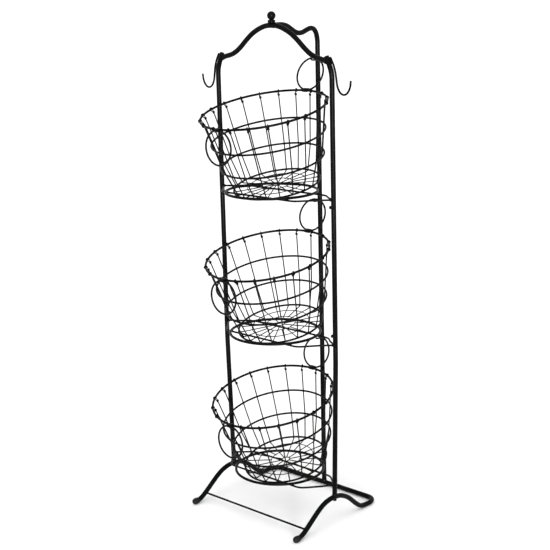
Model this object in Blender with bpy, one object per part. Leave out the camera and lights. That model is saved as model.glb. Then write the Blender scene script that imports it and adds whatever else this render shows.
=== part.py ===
"""Three-tier wire produce basket stand.

A tubular stand (two front posts, one rear post, an arched top and a looped
base) carries three horizontal trays. A round wire basket sits tilted towards
the front on each tray and hangs from a hook on the rear post by one of its two
ring handles. Metres, +Z up, the front is -Y. X = 0 is the plane of symmetry.
"""

import math

import bmesh
import bpy
from mathutils import Vector

MM = 0.001
GAP = 0.3 * MM                      # clearance between touching pieces

# ---------------------------------------------------------------- stand sizes
TUBE_R = 6.0 * MM                   # posts, arches and base loop
TUBE_BORE_R = 4.8 * MM
SPIGOT_R = 4.4 * MM                 # swaged end of a post section
SPIGOT_LENGTH = 26.0 * MM
ROD_R = 2.4 * MM                    # crossbar and side hooks
Y_PLANE = 11.48 * MM                # plane of the front posts
Y_REAR = 160.5 * MM                 # rear post and rear floor bar, behind that plane
POST_X_LOW = 170.5 * MM             # half spacing of the front posts at the base
POST_X_HIGH = 178.8 * MM            # and above the bend in the lower sections
POST_Z_LOW = 72.8 * MM
POST_Z_BEND = 407.0 * MM            # the lower sections lean in below this height
JOINT_Z = (447.0 * MM, 776.0 * MM)  # joints between post sections
BAR_Z = TUBE_R * math.cos(math.pi / 10)   # a ten-sided tube lying on a flat side
ARCH_TOP_Z = 1184.0 * MM
FINIAL_BALL_R = 10.0 * MM
FINIAL_BALL_Z = 1206.0 * MM

# ---------------------------------------------------------------- tray sizes
TRAY_Z = {"bottom": 102.0 * MM, "middle": 456.0 * MM, "top": 801.0 * MM}
TRAY_Y = {"bottom": -9.0 * MM, "middle": -13.0 * MM, "top": -14.0 * MM}
TRAY_RING_R = 109.0 * MM
TRAY_RING_WIRE_R = 3.2 * MM
TRAY_WIRE_R = 2.3 * MM
TRAY_WIRE_DROP = TRAY_RING_WIRE_R + TRAY_WIRE_R + GAP
TRAY_FRONT_Y = -65.0 * MM           # straight run of the front wire
TRAY_REAR_Y = 37.0 * MM             # straight run of the rear wire

# -------------------------------------------------------------- basket sizes
# The three loose baskets are alike. Each has settled a little differently:
# centre of its floor (X, Y), lean towards the front, turn of its wires.
SEAT = {"bottom": (4.0 * MM, 9.6 * MM, math.radians(13.1), math.radians(1.8)),
        "middle": (0.0 * MM, 6.35 * MM, math.radians(12.7), math.radians(2.9)),
        "top": (0.0 * MM, 5.28 * MM, math.radians(12.3), math.radians(0.8))}
WIRES = 20                          # every second one stops at the inner web ring
WIRE_R = 1.2 * MM
HOOP_R = 2.4 * MM                   # wire radius of the hoops
RIM_WIRE_R = 2.8 * MM
RIM = (149.3 * MM, 184.8 * MM)      # radius and height above the floor web
UPPER_HOOP = (135.4 * MM, 120.7 * MM)
LOWER_HOOP = (123.0 * MM, 60.5 * MM)
BASE_HOOP = (103.0 * MM, 1.2 * MM)
WEB_RINGS = (37.0 * MM, 70.0 * MM)  # rings of the floor web
HUB = (8.0 * MM, 11.0 * MM)         # inner and outer radius of the centre ring
HOOP_SEGMENTS = 40

# --------------------------------------------------------- handle and hooks
HANDLE_R = 39.5 * MM                # ring handle, centre line
HANDLE_WIRE_R = 2.3 * MM
HANDLE_OFFSET = RIM_WIRE_R + HANDLE_WIRE_R + GAP
HANDLE_LEAN = math.radians(22.0)    # rear ring leans back onto its hook
CLIP_HALF = 7.0 * MM
CLIP_IN_R = 3.6 * MM
CLIP_OUT_R = 4.5 * MM
HOOK_R = 2.0 * MM

POWDER_COAT = (0.018, 0.018, 0.019, 1.0)
CAP_VINYL = (0.012, 0.012, 0.012, 1.0)


def clear_scene():
    for ob in list(bpy.data.objects):
        bpy.data.objects.remove(ob, do_unlink=True)


def material(name, colour, roughness, metallic):
    mat = bpy.data.materials.new(name)
    mat.use_nodes = True
    shader = mat.node_tree.nodes["Principled BSDF"]
    shader.inputs["Base Color"].default_value = colour
    shader.inputs["Roughness"].default_value = roughness
    shader.inputs["Metallic"].default_value = metallic
    return mat


# ------------------------------------------------------------ curve helpers
def spline(points, count):
    """Catmull-Rom curve through the points, resampled to even spacing."""
    pts = [Vector(p) for p in points]
    ext = [pts[0] * 2 - pts[1]] + pts + [pts[-1] * 2 - pts[-2]]
    dense = []
    for i in range(1, len(ext) - 2):
        a, b, c, d = ext[i - 1], ext[i], ext[i + 1], ext[i + 2]
        for k in range(16):
            t = k / 16.0
            dense.append(0.5 * ((b * 2) + (c - a) * t + (a * 2 - b * 5 + c * 4 - d) * t * t
                                + (b * 3 - a - c * 3 + d) * t * t * t))
    dense.append(pts[-1])
    run = [0.0]
    for p, q in zip(dense, dense[1:]):
        run.append(run[-1] + (q - p).length)
    out = []
    j = 0
    for i in range(count):
        want = run[-1] * i / (count - 1)
        while j < len(run) - 2 and run[j + 1] < want:
            j += 1
        part = (want - run[j]) / max(run[j + 1] - run[j], 1e-12)
        out.append(dense[j].lerp(dense[j + 1], min(max(part, 0.0), 1.0)))
    return out


def frames(path, ref):
    """Tangent, side and up vector at each point; the side stays square to ref."""
    out = []
    n = len(path)
    for i in range(n):
        a = path[max(i - 1, 0)]
        b = path[min(i + 1, n - 1)]
        t = (b - a).normalized()
        side = t.cross(ref).normalized()
        out.append((t, side, side.cross(t).normalized()))
    return out


def ring_verts(bm, centre, side, up, radius, sides, phase):
    verts = []
    for k in range(sides):
        a = 2 * math.pi * (k + phase) / sides
        verts.append(bm.verts.new(centre + side * (radius * math.cos(a)) + up * (radius * math.sin(a))))
    return verts


def bridge(bm, lower, upper):
    n = len(lower)
    for k in range(n):
        bm.faces.new((lower[k], lower[(k + 1) % n], upper[(k + 1) % n], upper[k]))


def finish_mesh(name, bm, mat, smooth_angle=40.0):
    bmesh.ops.recalc_face_normals(bm, faces=bm.faces[:])
    mesh = bpy.data.meshes.new(name)
    bm.to_mesh(mesh)
    bm.free()
    mesh.materials.append(mat)
    mesh.shade_smooth()
    mesh.set_sharp_from_angle(angle=math.radians(smooth_angle))
    ob = bpy.data.objects.new(name, mesh)
    bpy.context.scene.collection.objects.link(ob)
    return ob


def sweep(bm, path, radius, sides, ref, phase=0.5, bore=None, cut_start=None, cut_end=None):
    """Round bar along a path. bore: (radius, depth at start, depth at end);
    a depth of None runs the bore right through. cut_*: (point, normal) of a
    plane that the end is trimmed to."""
    path = [Vector(p) for p in path]
    fr = frames(path, Vector(ref))
    rings = [ring_verts(bm, p, f[1], f[2], radius, sides, phase) for p, f in zip(path, fr)]
    for cut, idx in ((cut_start, 0), (cut_end, -1)):
        if cut:
            point, normal = Vector(cut[0]), Vector(cut[1])
            t = fr[idx][0]
            for v in rings[idx]:
                v.co += t * ((point - v.co).dot(normal) / t.dot(normal))
    for a, b in zip(rings, rings[1:]):
        bridge(bm, a, b)
    if bore is None:
        bm.faces.new(rings[0][::-1])
        bm.faces.new(rings[-1])
        return
    r, at_start, at_end = bore
    if at_start is None:
        inner = [ring_verts(bm, p, f[1], f[2], r, sides, phase) for p, f in zip(path, fr)]
        for a, b in zip(inner, inner[1:]):
            bridge(bm, b, a)
        bridge(bm, inner[0], rings[0])
        bridge(bm, rings[-1], inner[-1])
        return
    for depth, idx, sign in ((at_start, 0, 1.0), (at_end, -1, -1.0)):
        t, side, up = fr[idx]
        if depth:
            mouth = ring_verts(bm, path[idx], side, up, r, sides, phase)
            floor = ring_verts(bm, path[idx] + t * (sign * depth), side, up, r, sides, phase)
            bridge(bm, mouth, rings[idx])
            bridge(bm, floor, mouth)
            bm.faces.new(floor)
        else:
            bm.faces.new(rings[idx])


def tube(name, path, radius, mat, sides=10, ref=(0, 0, 1), floor=None, **extra):
    bm = bmesh.new()
    sweep(bm, path, radius, sides, ref, **extra)
    if floor is not None:
        for v in bm.verts:
            v.co.z = max(v.co.z, floor)
    return finish_mesh(name, bm, mat)


def torus_into(bm, centre, across, along, radius, wire, segments, sides, phase=0.5, turn=0.0):
    """Closed wire ring: across and along span its plane."""
    centre, across, along = Vector(centre), Vector(across), Vector(along)
    axis = across.cross(along).normalized()
    rings = []
    for i in range(segments):
        a = 2 * math.pi * i / segments + turn
        out = across * math.cos(a) + along * math.sin(a)
        rings.append(ring_verts(bm, centre + out * radius, out, axis, wire, sides, phase))
    for i in range(segments):
        bridge(bm, rings[i], rings[(i + 1) % segments])


def torus(name, centre, across, along, radius, wire, mat, segments=HOOP_SEGMENTS, sides=4, phase=0.5, turn=0.0):
    bm = bmesh.new()
    torus_into(bm, centre, across, along, radius, wire, segments, sides, phase, turn)
    return finish_mesh(name, bm, mat)


def lathe(name, profile, centre, axis, mat, segments=16, floor=None):
    """Turned closed body from (radius, distance along axis) pairs; a radius of
    0 is a point on the axis. floor: height that the body is flattened at."""
    bm = bmesh.new()
    centre, axis = Vector(centre), Vector(axis).normalized()
    side = Vector((1, 0, 0)) if abs(axis.x) < 0.5 else Vector((0, 1, 0))
    up = axis.cross(side)
    rows = []
    for r, d in profile:
        p = centre + axis * d
        rows.append([bm.verts.new(p)] if r == 0 else ring_verts(bm, p, side, up, r, segments, 0.5))
    for a, b in zip(rows, rows[1:]):
        if len(a) == 1 and len(b) == 1:
            continue
        if len(a) == 1:
            for k in range(segments):
                bm.faces.new((a[0], b[(k + 1) % segments], b[k]))
        elif len(b) == 1:
            for k in range(segments):
                bm.faces.new((a[k], a[(k + 1) % segments], b[0]))
        else:
            bridge(bm, a, b)
    if floor is not None:
        for v in bm.verts:
            v.co.z = max(v.co.z, floor)
    return finish_mesh(name, bm, mat)


def revolve_loop(name, profile, place, mat, segments=10):
    """Hollow upright body from a closed loop of (radius, distance from its lower
    end) pairs; place gives the centre of the level ring at a distance."""
    bm = bmesh.new()
    side, up = Vector((1, 0, 0)), Vector((0, 1, 0))
    rows = [ring_verts(bm, place(d), side, up, r, segments, 0.5) for r, d in profile]
    for a, b in zip(rows, rows[1:] + rows[:1]):
        bridge(bm, a, b)
    return finish_mesh(name, bm, mat)


# -------------------------------------------------------------------- stand
def post_section(name, centre, low, high, mat, bend=None):
    """Tube from height low to height high, whose top end is swaged down to slip
    into the next one. centre gives the axis at a height; bend is the height of
    a change in its direction."""
    length = high - low
    plug = SPIGOT_R
    wall = TUBE_R - TUBE_BORE_R
    profile = [(TUBE_R, 0), (TUBE_R, length), (plug, length), (plug, length + SPIGOT_LENGTH),
               (plug - wall, length + SPIGOT_LENGTH), (plug - wall, length - 8 * MM), (TUBE_BORE_R, length - 12 * MM),
               (TUBE_BORE_R, 0)]
    if bend:
        profile.insert(1, (TUBE_R, bend - low))
        profile.insert(-1, (TUBE_BORE_R, bend - low))
    return revolve_loop(name, profile, lambda d: centre(low + d), mat)


def post_x(z):
    part = min((z - POST_Z_LOW) / (POST_Z_BEND - POST_Z_LOW), 1.0)
    return POST_X_LOW + (POST_X_HIGH - POST_X_LOW) * part


def mm(x, y, z):
    """Point given in millimetres from the plane of the front posts."""
    return Vector((x * MM, Y_PLANE + y * MM, z * MM))


def build_stand(coat, vinyl):
    # base loop: floor foot, up over the post's foot, down to the floor behind,
    # across at the back, and the same on the other side
    x = POST_X_LOW / MM
    z0 = BAR_Z / MM
    half = [mm(x, -141, 7.3), mm(x, -136, 7.3), mm(x, -130, 7.4), mm(x, -119, 11.4), mm(x, -107, 18.5), mm(x, -93, 28.5),
            mm(x, -77, 40.0), mm(x, -61, 51.0), mm(x, -43, 60.5), mm(x, -23, 66.0), mm(x, -3, 67.0),
            mm(x, 17, 64.5), mm(x, 36, 57.0), mm(x, 53, 46.5), mm(x, 68, 33.5), mm(x, 83, 20.5),
            mm(x, 97, 10.8), mm(x, 111, 6.6), mm(x, 124, z0), mm(x, 137, z0), mm(x - 5, 150, z0),
            mm(x - 14, 158, z0), mm(x - 28, Y_REAR / MM, z0), mm(x - 60, Y_REAR / MM, z0)]
    right = spline(half, 31)
    left = [Vector((-p.x, p.y, p.z)) for p in right][::-1]
    tube("base_loop", right + left, TUBE_R, coat, floor=0.0, phase=0.0)

    for side, name in ((1, "right"), (-1, "left")):
        foot = Vector((side * POST_X_LOW, Y_PLANE - 141.3 * MM, 7.3 * MM))
        profile = [(6.4, 8.0), (7.6, 8.0), (7.8, 3.0), (7.6, -2.0), (6.3, -5.8), (3.6, -8.2), (0, -9.0)]
        bore = [(0, 0.0), (6.4, 0.0), (6.4, 8.0)]
        rows = [(r * MM, d * MM) for r, d in bore + profile[1:]]
        lathe("foot_cap_" + name, rows, foot, (0, 1, 0), vinyl, segments=16, floor=0.0)

    tube("front_crossbar", [mm(-164.2, -106, 19.2), mm(164.2, -106, 19.2)], ROD_R, coat, sides=6)

    # posts
    for side, name in ((1, "right"), (-1, "left")):
        def at(z, s=side):
            return Vector((s * post_x(z), Y_PLANE, z))
        levels = (POST_Z_LOW + 0.4 * MM, JOINT_Z[0], JOINT_Z[1])
        post_section("lower_post_" + name, at, levels[0], levels[1] - GAP / 2, coat, bend=POST_Z_BEND)
        post_section("middle_post_" + name, at, levels[1] + GAP / 2, levels[2] - GAP / 2, coat)
        bend = [mm(side * 178.8, 0, 1062), mm(side * 178.5, 0, 1074), mm(side * 176.4, 0, 1086),
                mm(side * 172.3, 0, 1097), mm(side * 167.6, 0, 1108), mm(side * 163.2, 0, 1118.5)]
        path = [at(levels[2] + GAP / 2), at(0.9)] + spline(bend, 8)
        tube("upper_post_" + name, path, TUBE_R, coat, ref=(0, 1, 0),
             bore=(TUBE_BORE_R, SPIGOT_LENGTH + 14 * MM, 0))

    yr = Y_REAR / MM
    behind = lambda z: Vector((0, Y_PLANE + Y_REAR, z))
    post_section("lower_post_rear", behind, 2 * BAR_Z + 0.4 * MM, JOINT_Z[0] - GAP / 2, coat)
    post_section("middle_post_rear", behind, JOINT_Z[0] + GAP / 2, JOINT_Z[1] - GAP / 2, coat)
    # the rear post curves over at the top and runs forward to the front arch
    crook = [mm(0, yr, 1100), mm(0, yr, 1124), mm(0, yr - 0.4, 1143), mm(0, yr - 4.5, 1159), mm(0, yr - 13, 1169),
             mm(0, 135, 1171.5), mm(0, 121, 1168), mm(0, 107, 1163.5), mm(0, 93, 1162.5), mm(0, 79, 1166.5),
             mm(0, 66, 1173.5), mm(0, 52, 1180.5), mm(0, 37, 1184.0), mm(0, 21, 1184.6), mm(0, 6.5, 1184)]
    path = [mm(0, yr, JOINT_Z[1] / MM + 0.15), mm(0, yr, 950)] + spline(crook, 27)
    tube("upper_post_rear", path, TUBE_R, coat, ref=(1, 0, 0),
         bore=(TUBE_BORE_R, SPIGOT_LENGTH + 14 * MM, 0))

    # bell-shaped arch between the shoulders, trimmed to the leaning post tops
    top = ARCH_TOP_Z / MM
    half = [mm(0, 0, top), mm(20, 0, top - 1.6), mm(42, 0, top - 9), mm(62, 0, top - 19.5), mm(80, 0, top - 33),
            mm(98, 0, top - 48.5), mm(116, 0, top - 61.5), mm(133, 0, top - 69), mm(150, 0, top - 73),
            mm(160, 0, top - 76)]
    right = spline(half, 16)
    left = [Vector((-p.x, p.y, p.z)) for p in right[1:]][::-1]
    lean = Vector((172.2 - 163.2, 0, 1097 - 1118.5)).normalized()
    for_right = Vector((-lean.z, 0, lean.x)).normalized()
    if for_right.x < 0:
        for_right = -for_right
    face = mm(167.6, 0, 1108) - for_right * (TUBE_R + 0.4 * MM)
    mirror = lambda v: Vector((-v.x, v.y, v.z))
    tube("front_arch", left + right, TUBE_R, coat, sides=10, ref=(0, 1, 0),
         cut_start=(mirror(face), mirror(for_right)), cut_end=(face, for_right))

    b, z = FINIAL_BALL_R / MM, FINIAL_BALL_Z / MM
    base = top + TUBE_R / MM + 0.3
    profile = [(0, base), (8.0, base), (9.0, base + 1.4), (9.0, base + 5.0), (8.0, base + 6.4), (4.6, z - b * 0.88)]
    profile += [(b * math.cos(math.radians(a)), z + b * math.sin(math.radians(a))) for a in (-45, -22, 0, 22, 45, 68)]
    profile.append((0, z + b))
    lathe("finial", [(r * MM, d * MM) for r, d in profile], (0, Y_PLANE, 0), (0, 0, 1), coat, segments=16)

    # side hooks: open J shapes outside the shoulders
    for side, name in ((1, "right"), (-1, "left")):
        pts = [mm(side * a, 0, c) for a, c in ((177.3, 1112), (183.6, 1100), (188.6, 1085), (191.4, 1069), (194.2, 1053),
               (200.2, 1041), (209.2, 1035.2), (218.6, 1036.4), (226.2, 1043.6), (230.9, 1054), (232.6, 1067))]
        tube("side_hook_" + name, spline(pts, 19), ROD_R, coat, sides=6, ref=(0, 1, 0))


# -------------------------------------------------------------------- trays
def build_tray(tier, coat):
    z = TRAY_Z[tier]
    torus("tray_ring_" + tier, (0, Y_PLANE + TRAY_Y[tier], z), (1, 0, 0), (0, 1, 0), TRAY_RING_R, TRAY_RING_WIRE_R, coat,
          segments=32, sides=6, phase=0.5)
    zw = (z - TRAY_WIRE_DROP) / MM
    reach = post_x(z - TRAY_WIRE_DROP) / MM - TUBE_R / MM - 0.4
    f, r = TRAY_FRONT_Y / MM, TRAY_REAR_Y / MM
    front = [(reach, -2.6), (150, -24), (130, -48), (119, -59.5), (108, f + 0.4), (95, f), (0, f)]
    rear = [(reach, 2.6), (150, 16.5), (134, 30), (124, 35.4), (113, r), (60, r), (0, r)]
    for name, pts in (("tray_front_wire_", front), ("tray_rear_wire_", rear)):
        right = [mm(a, b, zw) for a, b in pts]
        left = [Vector((-p.x, p.y, p.z)) for p in right[:-1]]
        tube(name + tier, left + right[:-1][::-1], TRAY_WIRE_R, coat, sides=6, ref=(0, 0, 1), phase=0.5)


def build_tray_screws(coat):
    """Round-headed screws on the inner sides of the front posts."""
    profile = [(0, 0), (2.2, 0), (2.2, 2.4), (4.0, 2.4), (4.0, 4.4), (2.8, 6.0), (0, 6.4)]
    rows = [(r * MM, d * MM) for r, d in profile]
    for z, tier in ((777.5 * MM, "top"), (471.5 * MM, "middle")):
        for side, name in ((1, "right"), (-1, "left")):
            x = side * (post_x(z) - TUBE_R - 0.4 * MM)
            lathe("tray_screw_" + tier + "_" + name, rows, (x, Y_PLANE, z), (-side, 0, 0), coat, segments=8)


# ------------------------------------------------------------------ baskets
class Basket:
    """Places points of a basket: its axis leans towards the front."""

    def __init__(self, tier):
        self.tier = tier
        x, y, tilt, self.turn = SEAT[tier]
        self.axis = Vector((0, -math.sin(tilt), math.cos(tilt)))
        self.back = Vector((0, math.cos(tilt), math.sin(tilt)))
        # the floor wires rest on the tray's front wire
        wire_top = TRAY_Z[tier] - TRAY_WIRE_DROP + TRAY_WIRE_R
        rise = (y - TRAY_FRONT_Y) * math.tan(tilt)
        z = wire_top + 0.45 * MM + WIRE_R / math.cos(tilt) + rise
        self.floor = Vector((x, Y_PLANE + y, z))

    def at(self, radius, angle, height):
        out = Vector((1, 0, 0)) * math.cos(angle) + self.back * math.sin(angle)
        return self.floor + out * radius + self.axis * height


def build_cage(basket, coat):
    """Twenty wires, out over the floor, up the side and onto the rim. Ten start
    at the centre ring, and those between them at the inner web ring."""
    bm = bmesh.new()
    count = 2 * WIRES
    r_in, r_out = HUB
    step = 2 * math.pi / WIRES
    width = math.asin(WIRE_R / r_out)
    side_clear = HOOP_R + WIRE_R + GAP
    profile = [(r + d, 0.0) for r in WEB_RINGS for d in (-WIRE_R, WIRE_R)]
    web = {2 * i + 2 for i in range(len(WEB_RINGS))}
    profile += [(96.5 * MM, 0.0), (BASE_HOOP[0] - 3.6 * MM, 3.2 * MM),
               (LOWER_HOOP[0] - side_clear, LOWER_HOOP[1]), (UPPER_HOOP[0] - side_clear, UPPER_HOOP[1]),
               (RIM[0] - RIM_WIRE_R - WIRE_R - GAP, RIM[1] + RIM_WIRE_R)]
    outer, inner = [], []
    for k in range(count):
        j, right = divmod(k, 2)
        a = (j + 0.5) * step + basket.turn + (width if right else -width)
        for store, r in ((outer, r_out), (inner, r_in)):
            store.append([bm.verts.new(basket.at(r, a, h)) for h in (-WIRE_R, WIRE_R)])
    for k in range(count):
        n = (k + 1) % count
        bm.faces.new((outer[k][1], outer[n][1], inner[n][1], inner[k][1]))
        bm.faces.new((outer[k][0], inner[k][0], inner[n][0], outer[n][0]))
        bm.faces.new((inner[k][0], inner[k][1], inner[n][1], inner[n][0]))
        if k % 2 or k % 4 == 2:
            bm.faces.new((outer[k][0], outer[n][0], outer[n][1], outer[k][1]))
    stations = []
    for j in range(WIRES):
        a = (j + 0.5) * step + basket.turn
        stations.append({})
        out = Vector((1, 0, 0)) * math.cos(a) + basket.back * math.sin(a)
        tangent = basket.back * math.cos(a) - Vector((1, 0, 0)) * math.sin(a)
        last = None if j % 2 else [outer[2 * j][0], outer[2 * j + 1][0], outer[2 * j + 1][1], outer[2 * j][1]]
        pts = [(r_out, 0.0)] + profile
        for i in range(1, len(pts)):
            r, h = pts[i]
            pr, ph = pts[i - 1]
            nr, nh = pts[min(i + 1, len(pts) - 1)]
            d1 = Vector((r - pr, h - ph)).normalized()
            d2 = Vector((nr - r, nh - h)).normalized() if i + 1 < len(pts) else d1
            d = (d1 + d2).normalized()
            norm = Vector((-d.y, d.x))
            spread = WIRE_R / max(norm.dot(Vector((-d1.y, d1.x))), 0.5)
            c = basket.floor + out * r + basket.axis * h
            n3 = out * norm.x + basket.axis * norm.y
            ring = [bm.verts.new(c - tangent * WIRE_R - n3 * spread), bm.verts.new(c + tangent * WIRE_R - n3 * spread),
                    bm.verts.new(c + tangent * WIRE_R + n3 * spread), bm.verts.new(c - tangent * WIRE_R + n3 * spread)]
            if last is None:
                bm.faces.new(ring[::-1])
            elif i in web:
                stations[j][i] = (last, ring)
                for k in (0, 2):
                    bm.faces.new((last[k], last[k + 1], ring[k + 1], ring[k]))
            else:
                bridge(bm, last, ring)
            last = ring
        bm.faces.new(last)
    # each web ring is a run of short bars from wire to wire
    for j in range(WIRES):
        for i, (lo, hi) in stations[j].items():
            lo_n, hi_n = stations[(j + 1) % WIRES][i]
            bridge(bm, (lo[1], hi[1], hi[2], lo[2]), (lo_n[0], hi_n[0], hi_n[3], lo_n[3]))
    finish_mesh("wire_cage_" + basket.tier, bm, coat)


def build_clip(basket, name, sign, coat):
    """Bent strap clip that holds a ring handle's wire beside the rim wire."""
    bm = bmesh.new()
    rim = basket.at(RIM[0], sign * math.pi / 2, RIM[1])
    out = basket.back * sign
    mid = rim + out * (HANDLE_OFFSET / 2)
    loops = []
    for x in (-CLIP_HALF, CLIP_HALF):
        for r in (CLIP_OUT_R, CLIP_IN_R):
            ring = []
            for centre, start in ((HANDLE_OFFSET / 2, -90), (-HANDLE_OFFSET / 2, 90)):
                for k in range(5):
                    a = math.radians(start + 180 * k / 4)
                    p = mid + out * (centre + r * math.cos(a)) + basket.axis * (r * math.sin(a))
                    ring.append(bm.verts.new(p + Vector((x, 0, 0))))
            loops.append(ring)
    o0, i0, o1, i1 = loops
    bridge(bm, o0, o1)
    bridge(bm, i1, i0)
    bridge(bm, i0, o0)
    bridge(bm, o1, i1)
    finish_mesh(name, bm, coat)


def handle_axis(basket, sign):
    """Centre of the ring handle's wire in its clip."""
    return basket.at(RIM[0] + HANDLE_OFFSET, sign * math.pi / 2, RIM[1])


def build_handle(name, pivot, direction, coat):
    """Ring handle in a plane through X; direction points from its clip to its centre."""
    direction = Vector(direction).normalized()
    bm = bmesh.new()
    torus_into(bm, direction * HANDLE_R, (1, 0, 0), direction, HANDLE_R, HANDLE_WIRE_R, 24, 5, 0.5)
    ob = finish_mesh(name, bm, coat)
    ob.location = pivot
    return ob


def build_hook(basket, coat):
    """Hook on the front of the rear post that the rear ring handle hangs on."""
    pivot = handle_axis(basket, 1)
    top = pivot + Vector((0, math.sin(HANDLE_LEAN), math.cos(HANDLE_LEAN))) * (2 * HANDLE_R)
    post_face = Y_PLANE + Y_REAR - TUBE_R - 0.4 * MM
    # a ring that hangs off centre is a little lower over the hook
    drop = HANDLE_WIRE_R - 2.0 * MM + HANDLE_R - math.sqrt(HANDLE_R ** 2 - top.x ** 2)
    pts = [Vector((0, y, top.z - drop + z * MM)) for y, z in (
        (post_face, -4.9), (top.y + 3.0 * MM, -4.8), (top.y - 3.0 * MM, -4.7), (top.y - 7.5 * MM, -4.0),
        (top.y - 10.6 * MM, -1.9))]
    tube("rear_hook_" + basket.tier, spline(pts, 7), HOOK_R, coat, sides=6, ref=(1, 0, 0))


def build_basket(tier, coat):
    basket = Basket(tier)
    x = (1, 0, 0)
    torus("rim_" + tier, basket.floor + basket.axis * RIM[1], x, basket.back, RIM[0], RIM_WIRE_R, coat, sides=6)
    # the lower hoops have their corners at the cage wires
    for name, (r, h), phase in (("upper_hoop_", UPPER_HOOP, 0.0), ("lower_hoop_", LOWER_HOOP, 0.0),
                                ("base_hoop_", BASE_HOOP, 0.5)):
        torus(name + tier, basket.floor + basket.axis * h, x, basket.back, r, HOOP_R, coat, segments=WIRES,
              phase=phase, turn=math.pi / WIRES + basket.turn)
    build_cage(basket, coat)
    build_clip(basket, "handle_clip_front_" + tier, -1, coat)
    build_clip(basket, "handle_clip_rear_" + tier, 1, coat)
    build_hook(basket, coat)
    front = handle_axis(basket, -1)
    build_handle("ring_handle_front_" + tier, front, (0, 0, -1), coat)
    rear = handle_axis(basket, 1)
    build_handle("ring_handle_rear_" + tier, rear, (0, math.sin(HANDLE_LEAN), math.cos(HANDLE_LEAN)), coat)


def main():
    clear_scene()
    coat = material("black_powder_coat", POWDER_COAT, 0.42, 0.0)
    vinyl = material("black_vinyl", CAP_VINYL, 0.55, 0.0)
    build_stand(coat, vinyl)
    for tier in ("bottom", "middle", "top"):
        build_tray(tier, coat)
        build_basket(tier, coat)
    build_tray_screws(coat)


main()
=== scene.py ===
import math

import bmesh
import bpy
import numpy as np
from mathutils import Matrix, Vector


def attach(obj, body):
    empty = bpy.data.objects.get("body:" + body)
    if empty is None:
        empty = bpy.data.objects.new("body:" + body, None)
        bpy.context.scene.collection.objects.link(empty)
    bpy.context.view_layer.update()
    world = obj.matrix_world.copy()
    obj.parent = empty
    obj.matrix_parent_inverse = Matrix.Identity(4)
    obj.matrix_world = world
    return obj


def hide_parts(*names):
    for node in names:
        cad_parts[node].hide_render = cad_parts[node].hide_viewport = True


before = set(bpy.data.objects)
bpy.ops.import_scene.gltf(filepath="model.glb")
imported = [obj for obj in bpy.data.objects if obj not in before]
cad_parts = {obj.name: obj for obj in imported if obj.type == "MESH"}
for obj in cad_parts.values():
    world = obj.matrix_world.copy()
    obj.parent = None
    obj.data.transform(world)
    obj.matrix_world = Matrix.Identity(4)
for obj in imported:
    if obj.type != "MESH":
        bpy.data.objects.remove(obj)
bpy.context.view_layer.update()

# ------------------------------------------------------------------ sizes, mm
Y0 = 11.48                       # plane of the front posts
Y_REAR = 160.5
TUBE_R, BORE_R, SPIGOT_R = 6.0, 4.8, 4.4
ROD_R = 2.4
POST_X_LOW, POST_X_HIGH, POST_Z_LOW, POST_Z_BEND = 170.5, 178.8, 72.8, 407.0
JOINTS = (447.0, 776.0)
ARCH_TOP = 1184.0
TRAY_Z = {"bottom": 102.0, "middle": 456.0, "top": 801.0}
TRAY_Y = {"bottom": -9.0, "middle": -13.0, "top": -14.0}
TRAY_R, TRAY_RING_WIRE, TRAY_WIRE = 109.0, 3.2, 2.3
# each loose basket: centre of its floor (X, Y), lean, turn of its wires
SEAT = {"bottom": (4.0, 9.6, math.radians(13.1), math.radians(1.8)),
        "middle": (0.0, 6.35, math.radians(12.7), math.radians(2.9)),
        "top": (0.0, 5.28, math.radians(12.3), math.radians(0.8))}
WIRES, WIRE_R, HOOP_R, RIM_R = 20, 1.2, 2.4, 2.8
RIM = (149.3, 184.8)
UPPER = (135.4, 120.7)
LOWER = (123.0, 60.5)
BASE = (103.0, 1.2)
WEB = (37.0, 70.0)
HANDLE_R, HANDLE_WIRE = 39.5, 2.3
OFFSET = RIM_R + HANDLE_WIRE + 0.3
LEAN = math.radians(22.0)
CLIP_HALF = 7.0


def vec(*p):
    return np.array(p, float)


def unit(v):
    v = np.asarray(v, float)
    return v / np.linalg.norm(v)


def at(x, y, z):
    return vec(x, Y0 + y, z)


def post_x(z):
    return POST_X_LOW + (POST_X_HIGH - POST_X_LOW) * np.minimum((z - POST_Z_LOW) / (POST_Z_BEND - POST_Z_LOW), 1.0)


# ------------------------------------------------------------- shape building
class Shape:
    """Gathers closed shells, in millimetres, into one mesh."""

    def __init__(self):
        self.v, self.f, self.n = [], [], 0

    def add(self, verts, faces):
        self.v.append(np.asarray(verts, float).reshape(-1, 3))
        n = self.n
        self.f.extend(tuple(i + n for i in face) for face in faces)
        self.n += len(self.v[-1])


def curve(points, step):
    """Smooth curve through the points, evenly spaced."""
    p = np.array(points, float)
    ext = np.vstack([2 * p[0] - p[1], p, 2 * p[-1] - p[-2]])
    out = []
    t = np.linspace(0, 1, 24, endpoint=False)[:, None]
    for i in range(1, len(ext) - 2):
        a, b, c, d = ext[i - 1], ext[i], ext[i + 1], ext[i + 2]
        out.append(0.5 * (2 * b + (c - a) * t + (2 * a - 5 * b + 4 * c - d) * t ** 2 + (3 * b - a - 3 * c + d) * t ** 3))
    dense = np.vstack(out + [p[-1:]])
    run = np.concatenate([[0], np.cumsum(np.linalg.norm(np.diff(dense, axis=0), axis=1))])
    n = max(3, int(round(run[-1] / step)) + 1)
    s = np.linspace(0, run[-1], n)
    return np.stack([np.interp(s, run, dense[:, k]) for k in range(3)], 1)


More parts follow.
